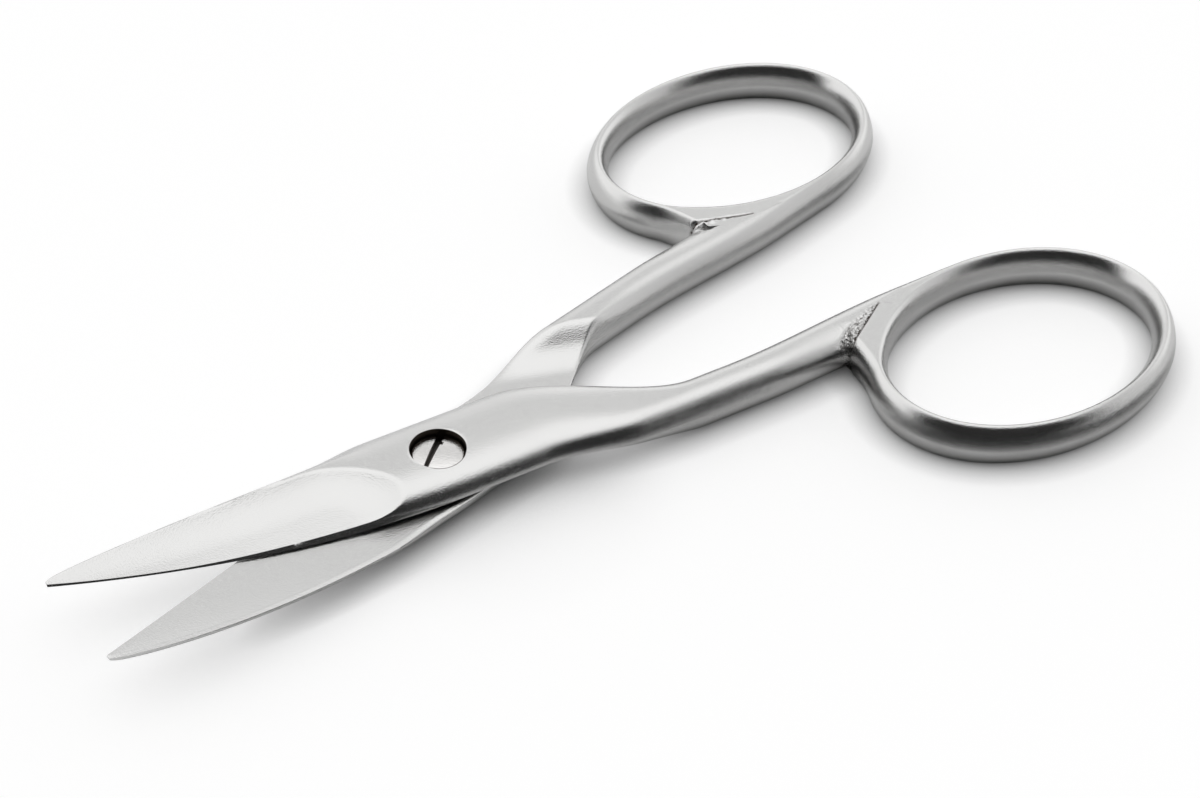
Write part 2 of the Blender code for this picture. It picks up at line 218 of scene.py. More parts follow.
# The weld's marks
SEAM_RUN = (SEAM_X - NOTCH_X, SEAM_Y - NOTCH_Y)
SEAM_LENGTH = math.hypot(*SEAM_RUN)
GROOVE_DEPTH = 0.16
GROOVE_WIDTH = 0.13
GROOVE_START = -0.06        # as a share of the seam's length, like the next two
STRIP_START = (-0.2, 0.0)
STRIP_STOP = (0.9, 1.0)
STRIP_NEAR = (-0.1, 0.1)    # off the seam, in millimetres, where the strip of pits fades in
STRIP_FAR = (-0.15, 0.15)   # and off its own width, where it fades out
LEAF_TAPER = 2.2
PIT_SCALE = 5.5             # pits to the millimetre, about

# Mesh fineness: stations are in millimetres, or in degrees round the bow
ACROSS = 60
BLADE_STATIONS = 150
TIP_SPREAD = 1.2
BAR_STEP = 0.2
WELD_STEP = 0.09
BOW_STEP = 1.2
BOW_END_STEP = 0.6
SHARP_ANGLE = math.radians(45.0)

# Where the oval's metal runs along X, and so where the bar's straight stations hand over to it
TOP_ANGLE = math.atan2(BOW_WIDTH * math.cos(BOW_TURN), BOW_LENGTH * math.sin(BOW_TURN))
TOP_X = bow_point(TOP_ANGLE)[0]
TOP_OUTER_Y = bow_point(TOP_ANGLE, WIRE_WIDTH / 2)[1]


def blade_fraction(x):
    """How far x is out along the blade: 0 at the pivot, 1 at the tip."""
    return np.clip(-x / BLADE_LENGTH, 0.0, 1.0)


def spine_side(x, flare_shift):
    """Plan outline of the spine side: (1 - f^1.9)^0.84 along the blade, an S at the joint, then the shank."""
    blade = mix(SPINE_TIP, SPINE_REACH, (1.0 - blade_fraction(x) ** SPINE_BELLY) ** SPINE_NOSE)
    start = FLARE_START - flare_shift
    shank = mix(SHANK_INNER, TOP_OUTER_Y, smoothstep(x, *SHANK_LEAN))
    return mix(blade, shank, smoothstep(x, start, start + FLARE_LENGTH))


def finger_hole_top(x):
    """The upper side of the finger hole: an ellipse turned by BOW_TURN, solved for y."""
    a = (BOW_LENGTH - WIRE_WIDTH) / 2
    b = (BOW_WIDTH - WIRE_WIDTH) / 2
    across = (a * math.cos(BOW_TURN)) ** 2 + (b * math.sin(BOW_TURN)) ** 2
    mixed = (a * a - b * b) * math.sin(BOW_TURN) * math.cos(BOW_TURN)
    dx = x - BOW_CENTRE[0]
    inside = np.maximum(across - dx * dx, 0.0)
    return BOW_CENTRE[1] + (mixed * dx + a * b * np.sqrt(inside)) / across


def hole_distance(x, y):
    """Distance outwards from the finger hole's wall: the oval's implicit value over its gradient."""
    dx, dy = x - BOW_CENTRE[0], y - BOW_CENTRE[1]
    along = dx * math.cos(BOW_TURN) + dy * math.sin(BOW_TURN)
    across = dy * math.cos(BOW_TURN) - dx * math.sin(BOW_TURN)
    a, b = BOW_LENGTH / 2, BOW_WIDTH / 2
    value = np.hypot(along / a, across / b)
    steepness = np.hypot(along / a ** 2, across / b ** 2) / value
    return (value - 1.0) / steepness + WIRE_WIDTH / 2


def cutting_side(x):
    """Plan outline of the cutting side: 1 - f^1.6 along the blade, the joint's swell, the shank, the hole."""
    blade = mix(EDGE_TIP, -EDGE_REACH, 1.0 - blade_fraction(x) ** EDGE_BELLY)
    shank = mix(SHANK_OUTER, NOTCH_Y, smoothstep(x, NOTCH_X - NOTCH_SPREAD, NOTCH_X))
    joint = mix(blade, shank, smoothstep(x, SWELL_START, SWELL_START + SWELL_LENGTH))
    seam = mix(joint, SEAM_Y, np.clip((x - NOTCH_X) / (SEAM_X - NOTCH_X), 0.0, 1.0))
    return mix(seam, finger_hole_top(x), smoothstep(x, MERGE_START, MERGE_X))


def scoop(x, y):
    """How far the wheel's hollow lifts the facet's root: a circle's sagitta past a D shaped rim in plan."""
    along = np.maximum(x + SCOOP_LENGTH + SCOOP_END, 0.0) / SCOOP_LENGTH
    across = np.maximum(y - SCOOP_APEX_Y, 0.0) / SCOOP_WIDTH
    past = np.maximum(np.hypot(along, across) - SCOOP_LEVEL, 0.0) * SCOOP_LENGTH
    return past ** 2 / (2.0 * SCOOP_RADIUS)


def across_section():
    """Places across a section from 0 to 1, closer together towards both edges."""
    return (1.0 - np.cos(np.pi * np.arange(ACROSS) / (ACROSS - 1))) / 2.0


class BarStations:
    """The bar at each x, in columns: its outline in plan, and how much of it is blade or bow there."""

    def __init__(self, x, half):
        self.half = half
        self.x = x[:, None]
        narrowed = half["spine_in"] * smoothstep(self.x, *SPINE_IN_START)
        narrowed = narrowed * (1.0 - smoothstep(self.x, *SPINE_IN_END))
        self.spine = spine_side(self.x, half["flare_shift"]) - narrowed
        self.edge = cutting_side(self.x)
        self.width = self.spine - self.edge
        self.on_blade = smoothstep(-self.x, 0.5 * SCOOP_START, SCOOP_START)
        self.on_bow = smoothstep(self.x, NOTCH_X, TOP_X)
        self.inner = mix(INNER_FACE, INNER_BLADE, smoothstep(-self.x, *INNER_FADE))
        self.facet = mix(FACET_HEIGHT_TIP, FACET_HEIGHT_ROOT, smoothstep(self.x, *FACET_RISE))
        self.lean = self.on_blade * np.minimum(EDGE_LEAN * self.facet, LEAN_LIMIT * self.width)


def outer_face(at, y, v):
    """Height of the outer face from blade to joint, at y and at v, from -1 at the spine to 1 at the edge.

    Joint: a crown (1 - |v|^3)^0.5. Blade: the least of the spine's 45 degree roll-off, that crown towards the
    cutting edge, and the ground facet.
    """
    crown = SIDE_LAND + (JOINT_THICKNESS - SIDE_LAND) * np.sqrt(1.0 - np.abs(v) ** 3)
    roll_off = at.inner + SPINE_LAND + at.spine - y
    blade = soft_min(roll_off, JOINT_THICKNESS, SPINE_SOFTNESS)
    forged = np.where(v > 0.0, crown, mix(crown, blade, at.on_blade))
    ground = at.inner + at.facet + FACET_SLOPE * (y - at.edge - at.lean) + scoop(at.x, y)
    ground = np.where(at.x < FACET_LIMIT, ground, 2.0 * JOINT_THICKNESS)
    return soft_min(forged, ground, FACET_SOFTNESS)


def inner_face(at, y, v):
    """Height of the inner face from blade to joint: hollow on the blade, with broken edges at the joint."""
    hollow = HOLLOW_DEPTH * at.on_blade * np.minimum(1.0, at.width / EDGE_REACH)
    broken = EDGE_BREAK * (1.0 - at.on_blade)
    nearest = np.minimum(y - at.edge, at.spine - y)
    return at.inner + hollow * (1.0 - v ** 2) + broken * (1.0 - rounded(nearest, 1.5 * EDGE_BREAK))


def shank_rounding(at, y, spine_round):
    """The rounding of the shank's two edges, and past the notch that of the finger hole's rim too."""
    fullness = mix(SHANK_FULLNESS, WIRE_FULLNESS, at.on_bow)
    square = smoothstep(at.x, *SQUARE_RANGE)
    edge_round = mix(SHANK_WIDTH / 2, ROUND_AT_NOTCH, smoothstep(at.x, NOTCH_X - ROUND_SPREAD, NOTCH_X))
    edge_round = mix(edge_round, SEAM_ROUND, square)
    rim = mix(1.0, rounded(hole_distance(at.x, y), WIRE_WIDTH / 2, fullness), square)
    cutting = mix(rounded(y - at.edge, edge_round), 1.0, smoothstep(at.x, *MERGED_RANGE))
    return rounded(at.spine - y, spine_round, fullness) * cutting * rim


def ramp_drop(at, y, rounding):
    """How far the ramp falls from the joint's inner face: an arc past its slanted foot, less a chamfer."""
    radius = at.half["ramp_radius"]
    foot = RAMP_START + RAMP_SLANT * (y - SHANK_OUTER)
    past = np.clip((at.x - foot) / math.hypot(1.0, RAMP_SLANT), 0.0, RAMP_ARC * radius)
    chamfer = RAMP_CHAMFER * np.clip(1.0 - (at.spine - y) / RAMP_CHAMFER_WIDTH, 0.0, 1.0)
    return (radius - np.sqrt(radius ** 2 - past ** 2)) * mix(RAMP_LEAST, 1.0, rounding) - chamfer


def bar_surfaces(x, half):
    """The bar from tip to the oval's top, in sections across X: top and bottom points, (stations, across, 3).

    The shank is the ring's level plus or minus half its height times its edges' rounding. The blade's bend is
    a parabola, flat at the pivot.
    """
    at = BarStations(x, half)
    u = across_section()
    v = 2.0 * u - 1.0
    top_y = mix(at.spine, at.edge + at.lean, u)
    bottom_y = mix(at.edge, at.spine, u)

    spine_round = mix(SHANK_WIDTH / 2, WIRE_WIDTH / 2, at.on_bow)
    crisp_round = mix(CRISP_EDGE, spine_round, smoothstep(at.x, *CRISP_FADE))
    bottom_rounding = shank_rounding(at, bottom_y, crisp_round)
    shank_top = half["ring_level"] + RING_HEIGHT / 2 * shank_rounding(at, top_y, spine_round)
    shank_bottom = half["ring_level"] - RING_HEIGHT / 2 * bottom_rounding

    top_z = mix(outer_face(at, top_y, v), shank_top, smoothstep(at.x, SHANK_FROM, SHANK_FULL))
    ramp = inner_face(at, bottom_y, v) - ramp_drop(at, bottom_y, bottom_rounding)
    blend = RAMP_SHARP + RAMP_BLEND * smoothstep(at.x, RAMP_START, SHANK_FROM)
    joined = -soft_min(-shank_bottom, -ramp, blend)
    bottom_z = mix(joined, shank_bottom, smoothstep(at.x, *RAMP_FADE))

    bend = half["rise"] * blade_fraction(at.x) ** 2
    x = np.broadcast_to(at.x, top_y.shape)
    top = np.stack([x, top_y, top_z + bend], axis=-1)
    bottom = np.stack([x, bottom_y, bottom_z + bend], axis=-1)
    return sink_weld(top, bottom, half)


def bow_surfaces(degrees, half):
    """The bow from the oval's top clockwise round to its welded end, in sections along the oval's normal."""
    left = degrees[:, None] + 360.0
    angle = np.radians(degrees)[:, None]
    toward_end = np.maximum(FLARE_ANGLE - left, 0.0) / (FLARE_ANGLE - NOTCH_ANGLE)
    flare = WELD_FLARE * np.minimum(np.minimum(toward_end ** 2, toward_end), FLARE_LIMIT)
    inside = 1.0 - smoothstep(left, END_ANGLE, COVERED_ANGLE)
    tuck = 1.0 - smoothstep(left, END_ANGLE, END_ANGLE + TUCK_ANGLE)
    outer = mix(WIRE_WIDTH / 2 + flare, END_REACH * WIRE_WIDTH, inside)
    inner = -(WIRE_WIDTH / 2 - END_TUCK * tuck)
    height = RING_HEIGHT / 2 - END_COVER * (toward_end > 0.0) - END_DROP * tuck
    outer_fullness = mix(WIRE_FULLNESS, SHANK_FULLNESS, flare / WELD_FLARE)
    near_end = 1.0 - smoothstep(left, COVERED_ANGLE, HANDOVER_ANGLE)
    dressed = smoothstep(-left, *DRESSED_RANGE)
    outer_round = mix(WIRE_WIDTH / 2, SEAM_ROUND, dressed)

    def height_at(offset):
        """Half the bow's height: its two sides' rounding, and near its end that of the bar's far side."""
        place = bow_point(angle, offset)
        spine = spine_side(place[..., 0], half["flare_shift"]) - place[..., 1]
        far_side = mix(1.0, rounded(spine, WIRE_WIDTH / 2), dressed)
        near_side = rounded(outer - offset, outer_round, outer_fullness)
        bar_fullness = mix(SHANK_FULLNESS, WIRE_FULLNESS, smoothstep(place[..., 0], NOTCH_X, TOP_X))
        hole_side = rounded(offset - inner, WIRE_WIDTH / 2, mix(WIRE_FULLNESS, bar_fullness, near_end))
        return height * near_side * hole_side * far_side

    u = across_section()
    offset_top = mix(outer, inner, u)
    offset_bottom = mix(inner, outer, u)
    top_z = half["ring_level"] + height_at(offset_top)
    bottom_z = half["ring_level"] - height_at(offset_bottom)
    top = np.concatenate([bow_point(angle, offset_top), top_z[..., None]], axis=-1)
    bottom = np.concatenate([bow_point(angle, offset_bottom), bottom_z[..., None]], axis=-1)
    return sink_weld(top, bottom, half)


def along_seam(dx, dy):
    """A place by the seam, from its distances to the notch: its share along it and its distance off."""
    run_x, run_y = SEAM_RUN
    return (dx * run_x + dy * run_y) / SEAM_LENGTH ** 2, (dy * run_x - dx * run_y) / SEAM_LENGTH


def sink_weld(top, bottom, half):
    """Both faces with the weld's marks in them."""
    top[..., 2] -= weld_marks(top, half["top_weld"])
    bottom[..., 2] += weld_marks(bottom, half["bottom_weld"])
    return top, bottom


def weld_marks(points, weld):
    """How far the weld's groove and pits sink the surface, less its lumps, by place along and off the seam.

    The groove is a gaussian across the seam, each lump a gaussian dome, the pits value noise on a leaf shape.
    """
    x, y = points[..., 0], points[..., 1]
    t, off = along_seam(x - NOTCH_X, y - NOTCH_Y)
    past = np.maximum(np.maximum(t - 1.0, GROOVE_START - t), 0.0) * SEAM_LENGTH
    across = np.exp(-(np.hypot(off, past) / GROOVE_WIDTH) ** 2)
    groove = GROOVE_DEPTH * across * np.sqrt(np.clip(1.0 - t, 0.0, 1.0))
    width = weld["width"] * (1.0 - np.clip(t, 0.0, 1.0) ** LEAF_TAPER)
    strip = smoothstep(off, *STRIP_NEAR) * (1.0 - smoothstep(off - width, *STRIP_FAR))
    strip = strip * smoothstep(t, *STRIP_START) * (1.0 - smoothstep(t, *STRIP_STOP))
    pits = weld["pits"] * strip * value_noise(points[..., :2] * PIT_SCALE)
    lumps = sum(height * np.exp(-((x - lump_x) ** 2 + (y - lump_y) ** 2) / radius ** 2)
                for lump_x, lump_y, radius, height in weld["lumps"])
    return groove + pits - lumps


def value_noise(plan):
    """Smooth noise from 0 to 1 in plan: a hash of each whole cell, blended across the cell."""
    cell = np.floor(plan)
    u, v = np.moveaxis((plan - cell) ** 2 * (3.0 - 2.0 * (plan - cell)), -1, 0)

    def corner(right, up):
        wave = np.sin((cell[..., 0] + right) * 12.9898 + (cell[..., 1] + up) * 78.233) * 43758.5453
        return wave - np.floor(wave)

    return mix(mix(corner(0, 0), corner(1, 0), u), mix(corner(0, 1), corner(1, 1), u), v)


def stations_between(start, end, step):
    """Evenly spaced places from start to end, about one step apart."""
    return np.linspace(start, end, max(2, round(abs(end - start) / step) + 1))


def half_loops(half):
    """All the sections of one half, each a closed loop of top points and then bottom points."""
    bar_x = np.concatenate([
        -BLADE_LENGTH * (1.0 - np.linspace(0.0, 1.0, BLADE_STATIONS)[:-1] ** TIP_SPREAD),
        stations_between(0.0, NOTCH_X - 1.0, BAR_STEP)[:-1],
        stations_between(NOTCH_X - 1.0, MERGE_X, WELD_STEP)[:-1],
        stations_between(MERGE_X, TOP_X, BAR_STEP),
    ])
    bow_degrees = np.concatenate([
        stations_between(math.degrees(TOP_ANGLE), FLARE_ANGLE - 360.0, BOW_STEP)[1:-1],
        stations_between(FLARE_ANGLE - 360.0, END_ANGLE - 360.0, BOW_END_STEP),
    ])
    bar_top, bar_bottom = bar_surfaces(bar_x, half)
    bow_top, bow_bottom = bow_surfaces(bow_degrees, half)
    top = np.concatenate([bar_top, bow_top])
    bottom = np.concatenate([bar_bottom, bow_bottom])
    return np.concatenate([top, bottom], axis=1)


def to_rest(points, half):
    """Half frame to rest: the lower half is turned over about X, then both are turned about the pivot."""
    x, y, z = points[..., 0], points[..., 1] * half["flip"], points[..., 2] * half["flip"]
    c, s = math.cos(half["turn"]), math.sin(half["turn"])
    return np.stack([x * c - y * s, x * s + y * c, z + JOINT_THICKNESS], axis=-1)


def skin_mesh(name, loops):
    """A mesh over closed loops of one size, (loops, points, 3), with its two ends capped."""
    rows, sides, _ = loops.shape
    index = np.arange(rows * sides).reshape(rows, sides)
    after = np.roll(index, -1, axis=1)
    quads = np.stack([index[:-1], after[:-1], after[1:], index[1:]], axis=-1).reshape(-1, 4)
    mesh = bpy.data.meshes.new(name)
    faces = quads.tolist() + [index[0, ::-1].tolist(), index[-1].tolist()]
    mesh.from_pydata((loops.reshape(-1, 3) * MM).tolist(), [], faces)
    mesh.update()
    return mesh


def add_object(name, mesh):
    result = bpy.data.objects.new(name, mesh)
    bpy.context.scene.collection.objects.link(result)
    return result


# How far each half stands off the middle line at rest
TURN = math.radians(HALF_OPENING)

# Each weld's strip of pits beside the seam, and its lumps: x, y, radius and height
PITTED_WELD = {"width": 1.05, "pits": 0.2, "lumps": [(33.75, -4.95, 0.2, 0.15)]}
LUMPY_WELD = {"width": 0.25, "pits": 0.12, "lumps": [
    (33.8, -4.45, 0.32, 0.25), (34.3, -4.1, 0.22, 0.18), (35.1, -3.85, 0.28, 0.16), (35.55, -3.75, 0.2, 0.12),
    (36.0, -3.4, 0.22, 0.12), (36.7, -3.0, 0.15, 0.06)]}
GROUND_WELD = {"width": 0.3, "pits": 0.05, "lumps": []}

# What sets the two halves apart
UPPER = {"name": "upper_forging", "node": "upper_half", "body": "upper", "flip": 1.0, "turn": -TURN,
         "rise": BLADE_RISE, "ring_level": -RING_LEVEL, "flare_shift": 0.0, "ramp_radius": 9.0,
         "spine_in": 0.0, "top_weld": PITTED_WELD, "bottom_weld": GROUND_WELD}
LOWER = {"name": "lower_forging", "node": "lower_half", "body": "lower", "flip": -1.0, "turn": TURN,
         "rise": -BLADE_RISE, "ring_level": RING_LEVEL, "flare_shift": 1.5, "ramp_radius": 4.8,
         "spine_in": 0.4, "top_weld": GROUND_WELD, "bottom_weld": LUMPY_WELD}

# The screw and the holes for it, in millimetres, with heights above the table
BORE_RADIUS = 1.5
BORE_RANGE = (-1.0, 6.0)
RECESS_RADIUS = 2.1
RECESS_FLOOR_Z = 2.7
RECESS_RIM = 0.05           # the recess is countersunk this deep and three times as wide
NECK_RADIUS = 1.2
HEAD_RADIUS = 1.95
HEAD_UNDER_Z = 2.8
HEAD_TOP_Z = 3.62
HEAD_DOME = 0.18
HEAD_EDGE = 0.12
EDGE_STEPS = 7
DOME_STEPS = (0.8, 0.65, 0.5, 0.35, 0.2, 0.08)
SLOT_WIDTH = 0.46
SLOT_FLOOR_Z = 2.82
SLOT_ANGLE = math.radians(34.9)
SLOT_OFF_CENTRE = 0.36
SLOT_TAPER = 0.13           # the slot widens by this share a millimetre towards its far end
CUT_ABOVE = 1.0             # cutters pass the surfaces that they cut by this much
NICK_RANGE = (0.8, 1.15)    # along the slot
NICK_FLOOR_Z = 3.3
NICK_SIDE = 0.2             # how far the nick reaches to the slot's one side
NICK_BACK_TOP = -0.15
NICK_BACK_FLOOR = -0.05


def turned_body(name, profile, sides=96):
    """A body turned about Z from (radius, height) points, bottom to top."""
    turns = 2.0 * np.pi * np.arange(sides) / sides
    loops = np.array([np.stack([r * np.cos(turns), r * np.sin(turns), np.full(sides, h)], axis=1)
                      for r, h in profile])
    return add_object(name, skin_mesh(name, loops))


def bore_cutter(half):
    """The screw's bore through a half."""
    return turned_body(half["name"] + "_bore", [(BORE_RADIUS, height) for height in BORE_RANGE])


def recess_cutter():
    """The recess for the screw's head, with its countersunk rim."""
    top = 2.0 * JOINT_THICKNESS
    mouth = RECESS_RADIUS + 3.0 * RECESS_RIM
    beyond = RECESS_RADIUS + 6.0 * RECESS_RIM
    return turned_body("recess", [
        (RECESS_RADIUS, RECESS_FLOOR_Z), (RECESS_RADIUS, top - RECESS_RIM), (mouth, top),
        (beyond, top + RECESS_RIM), (beyond, BORE_RANGE[1])])


def slot_prism(name, ends):
    """A cutter that runs along the screw's slot, from each end's distance along it and section across it."""
    c, s = math.cos(SLOT_ANGLE), math.sin(SLOT_ANGLE)
    loops = np.array([[(x * c - y * s, x * s + y * c, z) for y, z in section] for x, section in ends])
    return add_object(name, skin_mesh(name, loops))


def slot_cutters():
    """The screw's slot, off the centre and a little wider at one end, and the nick in its side."""
    half = SLOT_WIDTH / 2
    reach = HEAD_RADIUS + CUT_ABOVE
    top = HEAD_TOP_Z + CUT_ABOVE
    section = [(half, SLOT_FLOOR_Z), (half, top), (-half, top), (-half, SLOT_FLOOR_Z)]
    slot = [(x, [(y * (1.0 + SLOT_TAPER * x) + SLOT_OFF_CENTRE, z) for y, z in section])
            for x in (-reach, reach)]
    nick_section = [(NICK_SIDE, NICK_FLOOR_Z), (NICK_SIDE, top),
                    (NICK_BACK_TOP, top), (NICK_BACK_FLOOR, NICK_FLOOR_Z)]
    nick = [(x, nick_section) for x in NICK_RANGE]
    return [slot_prism("slot_cutter", slot), slot_prism("nick_cutter", nick)]


def add_screw(material):
    """The slotted screw: a slightly domed head with a broken edge, its neck and its flush end."""
    edge_angles = np.linspace(0.0, math.pi / 2, EDGE_STEPS)
    edge_radius = HEAD_RADIUS - HEAD_EDGE
    edge_z = HEAD_TOP_Z - HEAD_DOME - HEAD_EDGE
    edge = [(edge_radius + HEAD_EDGE * math.cos(a), edge_z + HEAD_EDGE * math.sin(a)) for a in edge_angles]
    dome = [(HEAD_RADIUS * t, HEAD_TOP_Z - HEAD_DOME * t * t) for t in DOME_STEPS]
    profile = [(NECK_RADIUS, 0.0), (NECK_RADIUS, HEAD_UNDER_Z), (HEAD_RADIUS, HEAD_UNDER_Z)] + edge + dome
    screw = turned_body("screw", profile)
    cut_and_finish(screw, slot_cutters(), material, "lower", "pivot_screw")


def add_half(half, material):
    """One forging, with its bore and, in the upper half, the recess for the screw's head."""
    cutters = [bore_cutter(half)]
    if half is UPPER:
        cutters.append(recess_cutter())
    skin = add_object(half["name"], skin_mesh(half["name"], to_rest(half_loops(half), half)))
    cut_and_finish(skin, cutters, material, half["body"], half["node"])


def cut_and_finish(piece, cutters, material, body, node):
    """Cuts the cutters out of a piece, shades it smooth but for its edges, and hangs it on its body."""
    for cutter in cutters:
        cut = piece.modifiers.new(cutter.name, "BOOLEAN")
        cut.operation = "DIFFERENCE"
        cut.object = cutter
    bpy.context.view_layer.update()
    whole = bpy.data.meshes.new_from_object(piece.evaluated_get(bpy.context.evaluated_depsgraph_get()))
    piece.modifiers.clear()
    piece.data = whole
    for cutter in cutters:
        bpy.data.objects.remove(cutter)
    whole.shade_smooth()
    whole.set_sharp_from_angle(angle=SHARP_ANGLE)
    whole.materials.clear()
    whole.materials.append(material)
    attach(piece, body)
    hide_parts(node)


class Value:
    """A socket of a node tree: Python's arithmetic on it adds Math nodes."""

    def __init__(self, tree, output):
        self.tree = tree
        self.output = output

    def __add__(self, other):
        return self.tree.math("ADD", self, other)

    def __radd__(self, other):
        return self.tree.math("ADD", other, self)

    def __sub__(self, other):
        return self.tree.math("SUBTRACT", self, other)

    def __rsub__(self, other):
        return self.tree.math("SUBTRACT", other, self)

    def __mul__(self, other):
        return self.tree.math("MULTIPLY", self, other)

    def __rmul__(self, other):
        return self.tree.math("MULTIPLY", other, self)

    def __truediv__(self, other):
        return self.tree.math("DIVIDE", self, other)

    def __pow__(self, other):
        return self.tree.math("POWER", self, other)

    def __abs__(self):
        return self.tree.math("ABSOLUTE", self, 0.0)

    def at_least(self, other):
        return self.tree.math("MAXIMUM", self, other)

    def at_most(self, other):
        return self.tree.math("MINIMUM", self, other)

    def step(self, start, end):
        """A smooth S from 0 at start to 1 at end."""
        return self.tree.node("ShaderNodeMapRange", {"interpolation_type": "SMOOTHSTEP"},
                              {"Value": self, "From Min": start, "From Max": end})


class Tree:
    """The nodes of a material or of the world, made by one method."""

    def __init__(self, owner):
        owner.use_nodes = True
        self.nodes = owner.node_tree.nodes
        self.links = owner.node_tree.links
        self.nodes.clear()

    def node(self, kind, settings=None, sockets=None, output=0):
        """Adds a node: its settings are set first, then each socket gets its value or link."""
        made = self.nodes.new(kind)
        for name, value in (settings or {}).items():
            setattr(made, name, value)
        for key, value in (sockets or {}).items():
            if isinstance(value, Value):
                self.links.new(value.output, made.inputs[key])
            else:
                made.inputs[key].default_value = value
        return Value(self, made.outputs[output]) if made.outputs else None

    def math(self, operation, first, second):
        return self.node("ShaderNodeMath", {"operation": operation}, {0: first, 1: second})

    def noise(self, place, scale, detail, **sockets):
        sockets.update({"Vector": place, "Scale": scale, "Detail": detail})
        return self.node("ShaderNodeTexNoise", None, sockets)

    def grey(self, level):
        return self.node("ShaderNodeCombineColor", None, {0: level, 1: level, 2: level})

    def parts(self, vector):
        """A vector's three components."""
        split = self.node("ShaderNodeSeparateXYZ", None, {0: vector}).output.node
        return [Value(self, split.outputs[axis]) for axis in range(3)]


# The steel. Scales count features to the metre, and the ground lines run along X
SATIN_COLOR = (0.66, 0.658, 0.652)
SATIN_ROUGHNESS = 0.20
POLISHED_COLOR = (0.72, 0.71, 0.70)
POLISHED_ROUGHNESS = 0.14
LINE_SCALE = (300.0, 6000.0, 3000.0)
LINE_ROUGHNESS = 0.10
LINE_STRENGTH = 0.15
CLOUD_SCALE = 220.0
CLOUD_ROUGHNESS = 0.08
GRAIN_SCALE = 9000.0
BUMP_HEIGHT = 0.02 * MM
# Painted shade, and the weld's dark marks: their colour, and the roughness that they add
PAINTED_SHADE_AND_MARK_COLOR = (0.045, 0.035, 0.028)
PAINTED_SHADE_AND_MARK_ROUGHNESS = 0.3
# Painted shade in the screw's slot and down its head's side, below these heights in metres
SLOT_PAINTED_SHADE = 0.85
SLOT_PAINTED_SHADE_Z = (3.34 * MM, 3.24 * MM)
# Painted shade in the screw's recess, inside this radius and below this height, in metres
RECESS_PAINTED_SHADE_RADIUS = (2.16 * MM, 2.12 * MM)
RECESS_PAINTED_SHADE_Z = (3.96 * MM, 3.92 * MM)
SPECK_SCALE = 5500.0
SPECK_DARKNESS = 0.7
SPECK_SHOWS = (0.45, 0.62)
CRACK_DARKNESS = 0.6

# Where the weld's specks and crack fade, along the seam as shares of it and off it in millimetres
SPECKS_START = (-0.25, 0.0)
SPECKS_STOP = (1.05, 0.95)
SPECKS_NEAR = (-0.12, 0.05)
SPECKS_FAR = (-0.1, 0.15)
NARROW_SPECKS = 0.2         # their strip is 1 mm wide at the notch on the upper half, and this on the lower
CRACK_START = (-0.1, 0.05)
CRACK_STOP = (1.02, 0.98)
CRACK_SIDES = (0.16, 0.04)


def steel(name, color, roughness, shade_and_marks):
    """Ground steel: fine lines, a cloudy polish and an even grain, with darker places: painted shade, and
    weld marks.
    """
    material = bpy.data.materials.new(name)
    tree = Tree(material)
    place = tree.node("ShaderNodeTexCoord", output="Object")
    stretched = tree.node("ShaderNodeMapping", {"vector_type": "POINT"},
                          {"Vector": place, "Scale": LINE_SCALE})
    lines = tree.noise(stretched, 1.0, 4.0, Roughness=0.6)
    clouds = tree.noise(place, CLOUD_SCALE, 3.0)
    grain = tree.noise(place, GRAIN_SCALE, 2.0)
    # Painted shade in hollows, and on the forgings the weld's dark marks
    dark = shade_and_marks(tree, place)
    uneven = (lines - 0.5) * LINE_ROUGHNESS + (clouds - 0.5) * CLOUD_ROUGHNESS
    streaks = tree.node("ShaderNodeBump", None,
                        {"Strength": LINE_STRENGTH, "Distance": BUMP_HEIGHT, "Height": lines})
    bump = tree.node("ShaderNodeBump", None,
                     {"Strength": 1.0, "Distance": BUMP_HEIGHT, "Height": grain, "Normal": streaks})
    tinted = tree.node("ShaderNodeMix", {"data_type": "RGBA"},
                       {"Factor": dark, "A": (*color, 1.0), "B": (*PAINTED_SHADE_AND_MARK_COLOR, 1.0)}, output="Result")
    shader = tree.node("ShaderNodeBsdfPrincipled", None, {
        "Base Color": tinted, "Metallic": 1.0, "Roughness": roughness + uneven + dark * PAINTED_SHADE_AND_MARK_ROUGHNESS,
        "Normal": bump})
    tree.node("ShaderNodeOutputMaterial", None, {"Surface": shader})
    return material


def screw_painted_shade(tree, place):
    """Painted shade in the slot and down the head's side: everything below the dome's edge."""
    z = tree.parts(place)[2]
    return z.step(*SLOT_PAINTED_SHADE_Z) * SLOT_PAINTED_SHADE


def forging_painted_shade_and_marks(tree, place):
    """Painted shade in the screw's recess, and dark cracks and specks along the weld's leaf shaped strip.

    At rest the two halves are mirror images in Y, so -|y| turned by half the opening is in both half frames.
    The upper half's shank is at -Y, and it has the wide strip.
    """
    x, y, z = tree.parts(place)
    # Painted shade in the screw's recess
    recess = ((x * x + y * y) ** 0.5).step(*RECESS_PAINTED_SHADE_RADIUS) * z.step(*RECESS_PAINTED_SHADE_Z)
    mirrored = 0.0 - abs(y)
    dx = (x * math.cos(TURN) - mirrored * math.sin(TURN)) / MM - NOTCH_X
    dy = (x * math.sin(TURN) + mirrored * math.cos(TURN)) / MM - NOTCH_Y
    t, off = along_seam(dx, dy)
    width = (1.0 - t * t) * (NARROW_SPECKS + (1.0 - NARROW_SPECKS) * y.step(MM, -MM))
    strip = off.step(*SPECKS_NEAR) * (width - off).step(*SPECKS_FAR)
    strip = strip * t.step(*SPECKS_START) * t.step(*SPECKS_STOP)
    specks = tree.noise(place, SPECK_SCALE, 3.0).step(*SPECK_SHOWS)
    crack = abs(off).step(*CRACK_SIDES) * t.step(*CRACK_START) * t.step(*CRACK_STOP)
    marks = strip * specks * SPECK_DARKNESS + crack * CRACK_DARKNESS
    return recess.at_least(marks.at_most(1.0))


